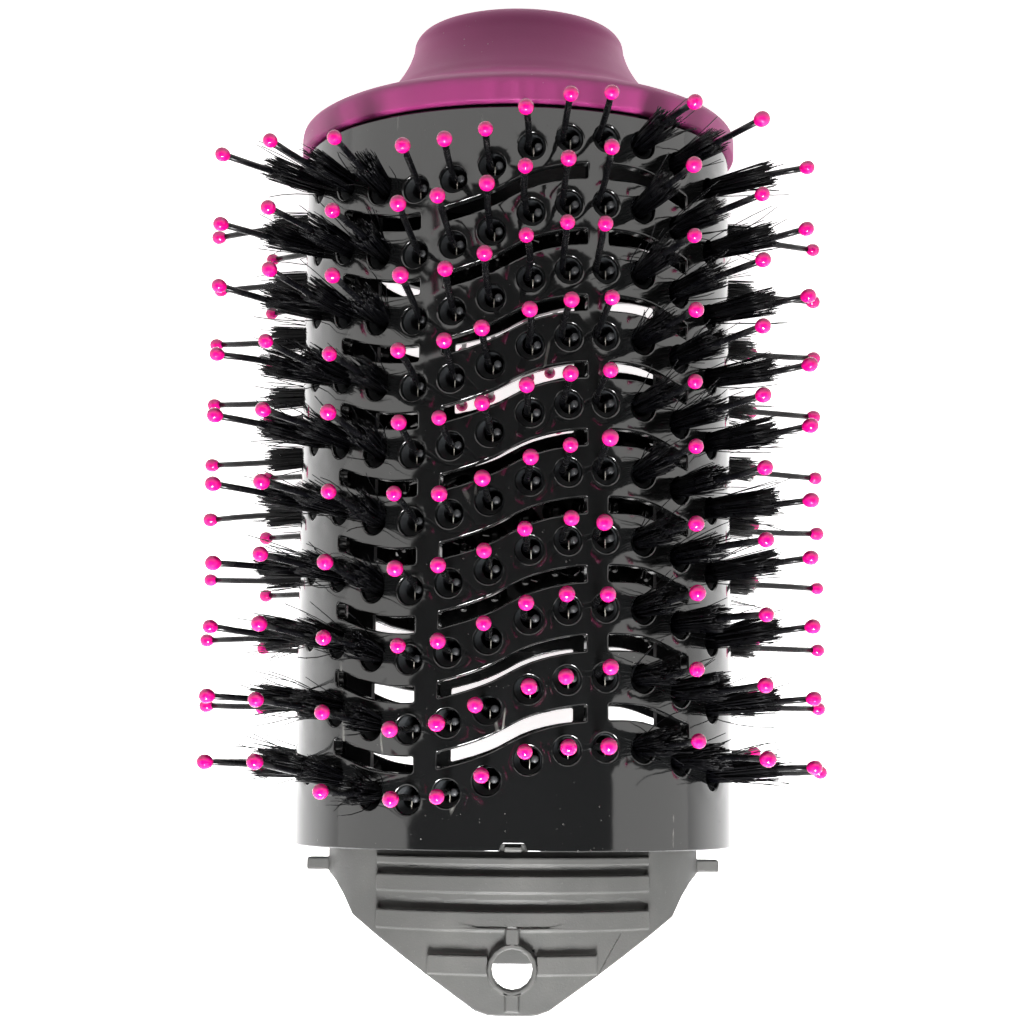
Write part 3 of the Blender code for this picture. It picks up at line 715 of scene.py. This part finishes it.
def free_points(shift):
    """A grid of points over the plain skin, clear of its edges and of everything cut out of it."""
    us = np.arange(ARC[0] + EDGE_FREE, ARC[-1] - FAR_EDGE_FREE, SKIN_STEP)
    ys = np.arange(RIM_Y + EDGE_FREE, SEAT_Y - FAR_EDGE_FREE, SKIN_STEP)
    grid_u, grid_y = (values.ravel() for values in np.meshgrid(us, ys))
    keep = (np.abs(grid_u) > NOTCH_FREE[0]) | (grid_y > RIM_Y + NOTCH_FREE[1])
    for u, y in socket_centres(shift):
        keep &= np.hypot(grid_u - u, grid_y - y) > SOCKET_RADIUS + SOCKET_FREE
    for gap in range(ROW_COUNT - 1):
        from_middle = np.abs(grid_y - row_y(gap + 0.5) - shift - wave(grid_u))
        for span in SLOT_SPANS:
            start, end = (float(arc_at(angle)) for angle in span)
            beside = (grid_u > start - SLOT_FREE) & (grid_u < end + SLOT_FREE)
            keep &= ~(beside & (from_middle < SLOT_HALF + SLOT_FREE))
    return np.stack((grid_u[keep], grid_y[keep]), -1)


def shell(half, side, shift):
    """One half shell: skin, rounded openings, blind sockets and inner face, as one closed mesh."""
    skin = Skin(shift)
    cut = [skin.through(shell_outline()[::-1])]
    cut += [skin.socket(socket_path(u, y)) for u, y in socket_centres(shift)]
    for gap in range(ROW_COUNT - 1):
        cut += [skin.through(slot_path(span, row_y(gap + 0.5) + shift)) for span in SLOT_SPANS]
    loops, rims, floors = zip(*cut)

    extra = free_points(shift)
    any_way = np.tile((1.0, 0.0), (len(extra), 1))
    outer = sum(rims, []) + skin.ring(extra, any_way, 0.0, 0.0, 0.0)
    inner = sum(floors, []) + skin.ring(extra, any_way, 0.0, WALL, pi, False)
    skin.span(loops, extra, outer, inner)

    piece = skin.piece(f"{half}_shell_skin", SHELL_BLACK, shaded=True, side=side)
    piece.data.materials.append(SOCKET_BLACK)
    for number in skin.unpolished:
        piece.data.polygons[number].material_index = 1
    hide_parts(f"barrel_{half}_shell")


# ---------------------------------------------------------------- bristles


def unit(vector):
    """The vector's direction."""
    return vector / np.linalg.norm(vector)


def basis(along):
    """Two directions square to a direction."""
    upright = (0.0, 1.0, 0.0) if abs(along[1]) < 0.9 else (1.0, 0.0, 0.0)
    side = unit(np.cross(upright, along))
    return side, np.cross(along, side)


def circle_round(along, sides):
    """Directions all round a direction."""
    side, up = basis(along)
    turns = np.arange(sides) * 2 * pi / sides
    return np.outer(np.cos(turns), side) + np.outer(np.sin(turns), up)


def rod(sheet, line, radii, sides):
    """A capped round rod along a line of points."""
    line = np.asarray(line, float)
    along = np.gradient(line, axis=0)
    along /= np.linalg.norm(along, axis=1, keepdims=True)
    sheet.closed_tube([
        sheet.add(centre + circle_round(direction, sides) * radius)
        for centre, direction, radius in zip(line, along, radii)
    ])


def bent(root, tip, sag, count):
    """Points from root to tip, bowed sideways by a vector at the middle."""
    steps = np.linspace(0.0, 1.0, count)[:, None]
    return root + (tip - root) * steps + sag * 4 * steps * (1 - steps)


def ball(sheet, centre, along, radius):
    """A dipped drop: round at its end, drawn out a little where the pin enters it."""
    circle = circle_round(along, BALL_SIDES)
    rings = []
    for step in range(1, BALL_RINGS):
        polar = pi * step / BALL_RINGS
        reach = cos(polar)
        wide = sin(polar)
        if reach < 0:
            reach *= BALL_DRAWN
            wide *= 1 - BALL_PINCH * (1 - wide)
        rings.append(sheet.add(centre + along * radius * reach + circle * radius * wide))
    sheet.tube(rings[::-1])
    for pole, edge in ((1.0, rings[0]), (-BALL_POLE, rings[-1][::-1])):
        sheet.fan(edge, sheet.add(centre + along * radius * pole)[0])


def tuft(sheet, root, along, chance):
    """A bundle of fine filaments fanning out from a socket, with a few strays."""
    side, up = basis(along)
    for _ in range(STRAND_COUNT):
        turn = chance.uniform(0, 2 * pi)
        share = chance.uniform(0, 1) ** 0.5
        foot = root + (side * cos(turn) + up * sin(turn)) * TUFT_FOOT * share
        stray = chance.uniform() < STRAY_SHARE
        fan = TUFT_SPREAD * (STRAY_FAN if stray else 1.0) * share
        turn += chance.normal(0, TURN_SPREAD)
        length = TUFT_LENGTH * chance.uniform(*(STRAY_LENGTHS if stray else STRAND_LENGTHS))
        end = foot + along * length + (side * cos(turn) + up * sin(turn)) * fan
        end += (side * chance.normal() + up * chance.normal()) * END_SPREAD
        sag = (side * chance.normal() + up * chance.normal()) * (STRAY_SAG if stray else STRAND_SAG)
        line = bent(foot, end, sag, len(STRAND_TAPER))
        rod(sheet, line, STRAND_RADIUS * np.array(STRAND_TAPER), STRAND_SIDES)


def in_socket(mouth, out, across, place):
    """The point at a place in a socket."""
    sideways, rise, depth = place
    return mouth + across * sideways + np.array((0.0, rise, 0.0)) - out * depth


def folded_foot(stubs, staples, mouth, out, across):
    """The fold, the cut end and the staple of a plain pin; returns the pin's root."""
    places = (PIN_ROOT, STUB_ROOT, *STAPLE_ENDS)
    root, stub, *staple = (in_socket(mouth, out, across, place) for place in places)
    rod(stubs, [root, (root + stub) / 2 - out * FOLD_DROP, stub], [FOLD_RADIUS] * 3, PIN_SIDES)
    rod(stubs, [stub + out * height for height in STUB_HEIGHTS], STUB_RADII, PIN_SIDES)
    rod(staples, staple, [STAPLE_RADIUS] * 2, PIN_SIDES)
    return root


def bristle_row(half, side, shift, row):
    """The pins, balls, tufts and staples of one row; the row's node is hidden."""
    chance = np.random.default_rng(SEED + row + (BACK_SEED if side < 0 else 0))
    pins, balls, tufts, stubs, staples = (Sheet() for _ in range(5))
    for index, (u, rise) in enumerate(zip(SOCKET_U, WAVE)):
        y = row_y(row) + shift + rise
        mouth, out, across = (found[0] for found in on_barrel(np.array([u]), np.array([y]), np.zeros(1)))
        lean = chance.normal(0, 1, 3) * LEAN
        if index in TUFTED_BALLS:
            x, ball_rise, z = TUFTED_BALLS[index][0 if side > 0 else 1]
            tip = np.array((x, y + ball_rise, z)) + np.array(TUFTED_LEAN) * lean
            tip[0] = np.sign(x) * min(abs(tip[0]), abs(x))
            root = mouth - out * SOCKET_DEPTH
            tuft(tufts, in_socket(mouth, out, across, TUFT_ROOT), unit(tip - mouth), chance)
        else:
            drop = TOP_ROW_DROP if row == 0 and side > 0 else 0.0
            tip = np.array((mouth[0] + PLAIN_BALL_X, y - drop, PLAIN_BALL_Z))
            tip += np.array((lean[0], lean[1], -SINK * abs(lean[2])))
            root = folded_foot(stubs, staples, mouth, out, across)
        sag = np.array((chance.normal(), chance.normal(), 0.0)) * BEND
        line = bent(root, tip - unit(tip - root) * BALL_RADIUS * PIN_IN_BALL, sag, PIN_RINGS)
        rod(pins, line, [PIN_RADIUS] * PIN_RINGS, PIN_SIDES)
        ball(balls, tip, unit(line[-1] - line[-2]), BALL_RADIUS * chance.uniform(*BALL_SIZES))
    name = f"{half}_row_{row + 1:02d}"
    piece = pins.piece(f"{name}_pins", PIN_BLACK, side=side)
    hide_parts(f"{half}_bristle_row_{row + 1:02d}")
    balls.piece(f"{name}_balls", PINK, side=side)
    tufts.piece(f"{name}_tufts", STRAND_BLACK, side=side)
    # the stubs are paler grey: a painted reflection on their cut ends
    stubs.piece(f"{name}_stubs", PAINTED_STUB_REFLECTION, side=side)
    staples.piece(f"{name}_staples", STEEL, side=side)


# ---------------------------------------------------------------- cap

CAP_HALF_WIDTH = 36.0
CAP_HALF_DEPTH = 31.0
CAP_SIDES = 128
CAP_OUTSIDE = (  # share of the flange's size, place along the barrel in mm, from the crown down
    (0.0, 77.5), (0.25, 77.5), (0.37, 77.25), (0.447, 76.5), (0.483, 75.1), (0.493, 73.2), (0.52, 70.6),
    (0.56, 68.1), (0.603, 66.1), (0.66, 64.0), (0.80, 61.9), (0.93, 60.3), (0.985, 59.1), (1.0, 57.7),
    (1.0, 55.4), (0.994, 55.0),
)
CAP_INSIDE = (
    (0.94, 55.0), (0.932, 55.2), (0.932, 57.6), (0.66, 58.7), (0.49, 61.5), (0.42, 67.0), (0.39, 73.4),
    (0.0, 73.4),
)


def flowing(points, steps=5):
    """A Catmull-Rom curve through points."""
    points = np.array(points)
    padded = np.concatenate((points[:1], points, points[-1:]))
    line = []
    for before, here, there, after in zip(padded, padded[1:], padded[2:], padded[3:]):
        for step in range(steps):
            t = step / steps
            line.append(
                0.5 * (2 * here + (there - before) * t + (2 * before - 5 * here + 4 * there - after) * t * t
                       + (3 * here - before - 3 * there + after) * t**3)
            )
    return np.array([*line, points[-1]])


def cap():
    """The soft-touch cap, turned oval, hollow from below."""
    profile = np.concatenate((flowing(CAP_OUTSIDE[1:]), np.array(CAP_INSIDE[:-1])))
    profile[:, 0] = np.minimum(profile[:, 0], 1.0)
    profile[:, 1] = np.minimum(profile[:, 1], CAP_OUTSIDE[0][1])
    turns = np.arange(CAP_SIDES) * 2 * pi / CAP_SIDES
    across, out = CAP_HALF_WIDTH * np.cos(turns), CAP_HALF_DEPTH * np.sin(turns)
    sheet = Sheet()
    sheet.closed_tube([
        sheet.add(np.stack((share * across, np.full(CAP_SIDES, y), share * out), -1)) for share, y in profile
    ])
    piece = sheet.piece("end_cap_body", PLUM)
    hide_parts("end_cap")


# ---------------------------------------------------------------- mount frame and small parts

WELD = 0.005  # points of a CAD mesh nearer than this are one
FLAT_WITHIN = 1.0  # faces of a CAD mesh this many degrees apart are one flat face
EDGE_FROM = 30.0  # an edge is rounded where its faces meet at more than this many degrees
COLLAR_SIZE = (29.4, 24.5)  # half width and half depth of the mount frame's collar
CURVED_FACING = 0.97  # a face is taken for the collar's if it looks this nearly along the oval's normal


def shade_by_oval(piece, oval):
    """Applies the bevel and shades the curved faces by the true oval, the others flat."""
    bpy.context.view_layer.update()
    graph = bpy.context.evaluated_depsgraph_get()
    mesh = bpy.data.meshes.new_from_object(piece.evaluated_get(graph))
    piece.modifiers.clear()
    piece.data = mesh
    width, depth = oval
    normals = []
    for face in mesh.polygons:
        for corner in face.vertices:
            place = mesh.vertices[corner].co - ORIGIN
            out = Vector((place.x / width**2, 0.0, place.z / depth**2)).normalized()
            facing = out.dot(face.normal)
            normals.append(out * (1 if facing > 0 else -1) if abs(facing) > CURVED_FACING else face.normal)
    mesh.normals_split_custom_set(normals)


def bevelled(node, name, width, material, oval=None):
    """A copy of a CAD node with its flat faces joined again and its edges rounded."""
    source = frame["nodes"][node]
    shape = bmesh.new()
    shape.from_mesh(source.data)
    bmesh.ops.remove_doubles(shape, verts=shape.verts, dist=WELD * MM)
    bmesh.ops.dissolve_limit(shape, angle_limit=radians(FLAT_WITHIN), verts=shape.verts, edges=shape.edges)
    mesh = bpy.data.meshes.new(name)
    shape.to_mesh(mesh)
    shape.free()
    mesh.materials.clear()
    mesh.materials.append(material)
    mesh.shade_smooth()
    piece = bpy.data.objects.new(name, mesh)
    bpy.context.scene.collection.objects.link(piece)
    edge = piece.modifiers.new("edges", "BEVEL")
    edge.width = width * MM
    edge.segments = 2
    edge.limit_method = "ANGLE"
    edge.angle_limit = radians(EDGE_FROM)
    edge.harden_normals = True
    edge.use_clamp_overlap = False
    if oval:
        shade_by_oval(piece, oval)
    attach(piece, source["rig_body"])
    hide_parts(node)


# ---------------------------------------------------------------- setting

CAMERA_PLACE = (-0.23, -46.7, 314.0)  # in the barrel's frame, in mm
CAMERA_TILT = 7.73
CAMERA_ROLL = 0.45
ROOM = 1.2  # half the width of the room that the gloss shows, in m


def area_light(name, place, aim, size, power):
    """A soft square light aimed at a point."""
    light = bpy.data.lights.new(name, "AREA")
    light.size = size
    light.energy = power
    holder = bpy.data.objects.new(name, light)
    holder.location = place
    holder.rotation_euler = (Vector(aim) - Vector(place)).to_track_quat("-Z", "Y").to_euler()
    bpy.context.scene.collection.objects.link(holder)


def sheet_of(name, material, place, half_size):
    """A flat square sheet of the setting."""
    shape = bmesh.new()
    bmesh.ops.create_grid(shape, x_segments=1, y_segments=1, size=1.0)
    mesh = bpy.data.meshes.new(name)
    shape.to_mesh(mesh)
    shape.free()
    mesh.materials.append(material)
    sheet = bpy.data.objects.new(name, mesh)
    sheet.scale = (*half_size, 1.0)
    sheet.location = place
    bpy.context.scene.collection.objects.link(sheet)
    return sheet


def reflected_only(sheet):
    """Leaves a sheet to be seen only in glossy surfaces."""
    sheet.visible_camera = False
    sheet.visible_diffuse = False
    sheet.visible_shadow = False


def setting():
    """Camera, floor, sky and lights."""
    scene = bpy.context.scene
    scene.view_settings.view_transform = "Standard"
    camera = bpy.data.cameras.new("camera")
    camera.lens = 68.0
    camera.sensor_width = 36.0
    holder = bpy.data.objects.new("camera", camera)
    holder.location = ORIGIN + Vector(CAMERA_PLACE) * MM
    holder.rotation_euler = (radians(CAMERA_TILT), 0.0, radians(CAMERA_ROLL))
    scene.collection.objects.link(holder)
    scene.camera = holder

    world = bpy.data.worlds.new("studio")
    world.use_nodes = True
    sky = world.node_tree.nodes["Background"]
    sky.inputs["Color"].default_value = (1.0, 0.99, 0.97, 1.0)
    sky.inputs["Strength"].default_value = 0.20
    scene.world = world

    glow = {"Emission_Strength": 0.85, "Emission_Color": (1.0, 0.99, 0.98, 1.0)}
    white = Shader("floor_paint", (0.93, 0.93, 0.93), 0.7, **glow)
    sheet_of("floor", white.material, (0.0, 0.0, 0.0), (3.0, 3.0))

    glow = {"Emission_Strength": 1.7, "Emission_Color": (1.0, 0.99, 0.97, 1.0)}
    bright = Shader("room_white", (0.0, 0.0, 0.0), 0.9, **glow)
    for name, place, turn in (
        ("room_ceiling", (0.0, 0.0, ROOM), (0.0, 0.0)),
        ("room_left", (-ROOM, 0.0, ROOM / 2), (0.0, pi / 2)),
        ("room_right", (ROOM, 0.0, ROOM / 2), (0.0, pi / 2)),
        ("room_near", (0.0, -ROOM, ROOM / 2), (pi / 2, 0.0)),
        ("room_far", (0.0, ROOM, ROOM / 2), (pi / 2, 0.0)),
    ):
        wall = sheet_of(name, bright.material, place, (ROOM, ROOM))
        wall.rotation_euler = (*turn, 0.0)
        reflected_only(wall)
    dark = Shader("card_black", (0.02, 0.02, 0.02), 0.9)
    reflected_only(sheet_of("dark_card", dark.material, (-0.03, -0.195, 0.60), (0.58, 0.395)))

    area_light("key_light", (0.0, -0.33, 0.34), (0.0, 0.0, 0.07), 0.13, 4.3)


for half_name, half_side, half_shift in HALVES:
    shell(half_name, half_side, half_shift)
    for row_number in range(ROW_COUNT):
        bristle_row(half_name, half_side, half_shift, row_number)
cap()
bevelled("mount_frame", "mount_frame_body", 0.25, CHARCOAL, COLLAR_SIZE)
for latch in ("front_latch", "back_latch"):
    bevelled(latch, f"{latch}_body", 0.15, CHARCOAL)
# the rails and cap plate are near black: painted shade for the barrel's inside, seen through the slots
for node in ("left_rail", "right_rail", "cap_plate"):
    frame["nodes"][node].data.materials[0] = INNER_PAINTED_SHADE
for node in ("cap_screw_left", "cap_screw_right"):
    frame["nodes"][node].data.materials[0] = STEEL
setting()
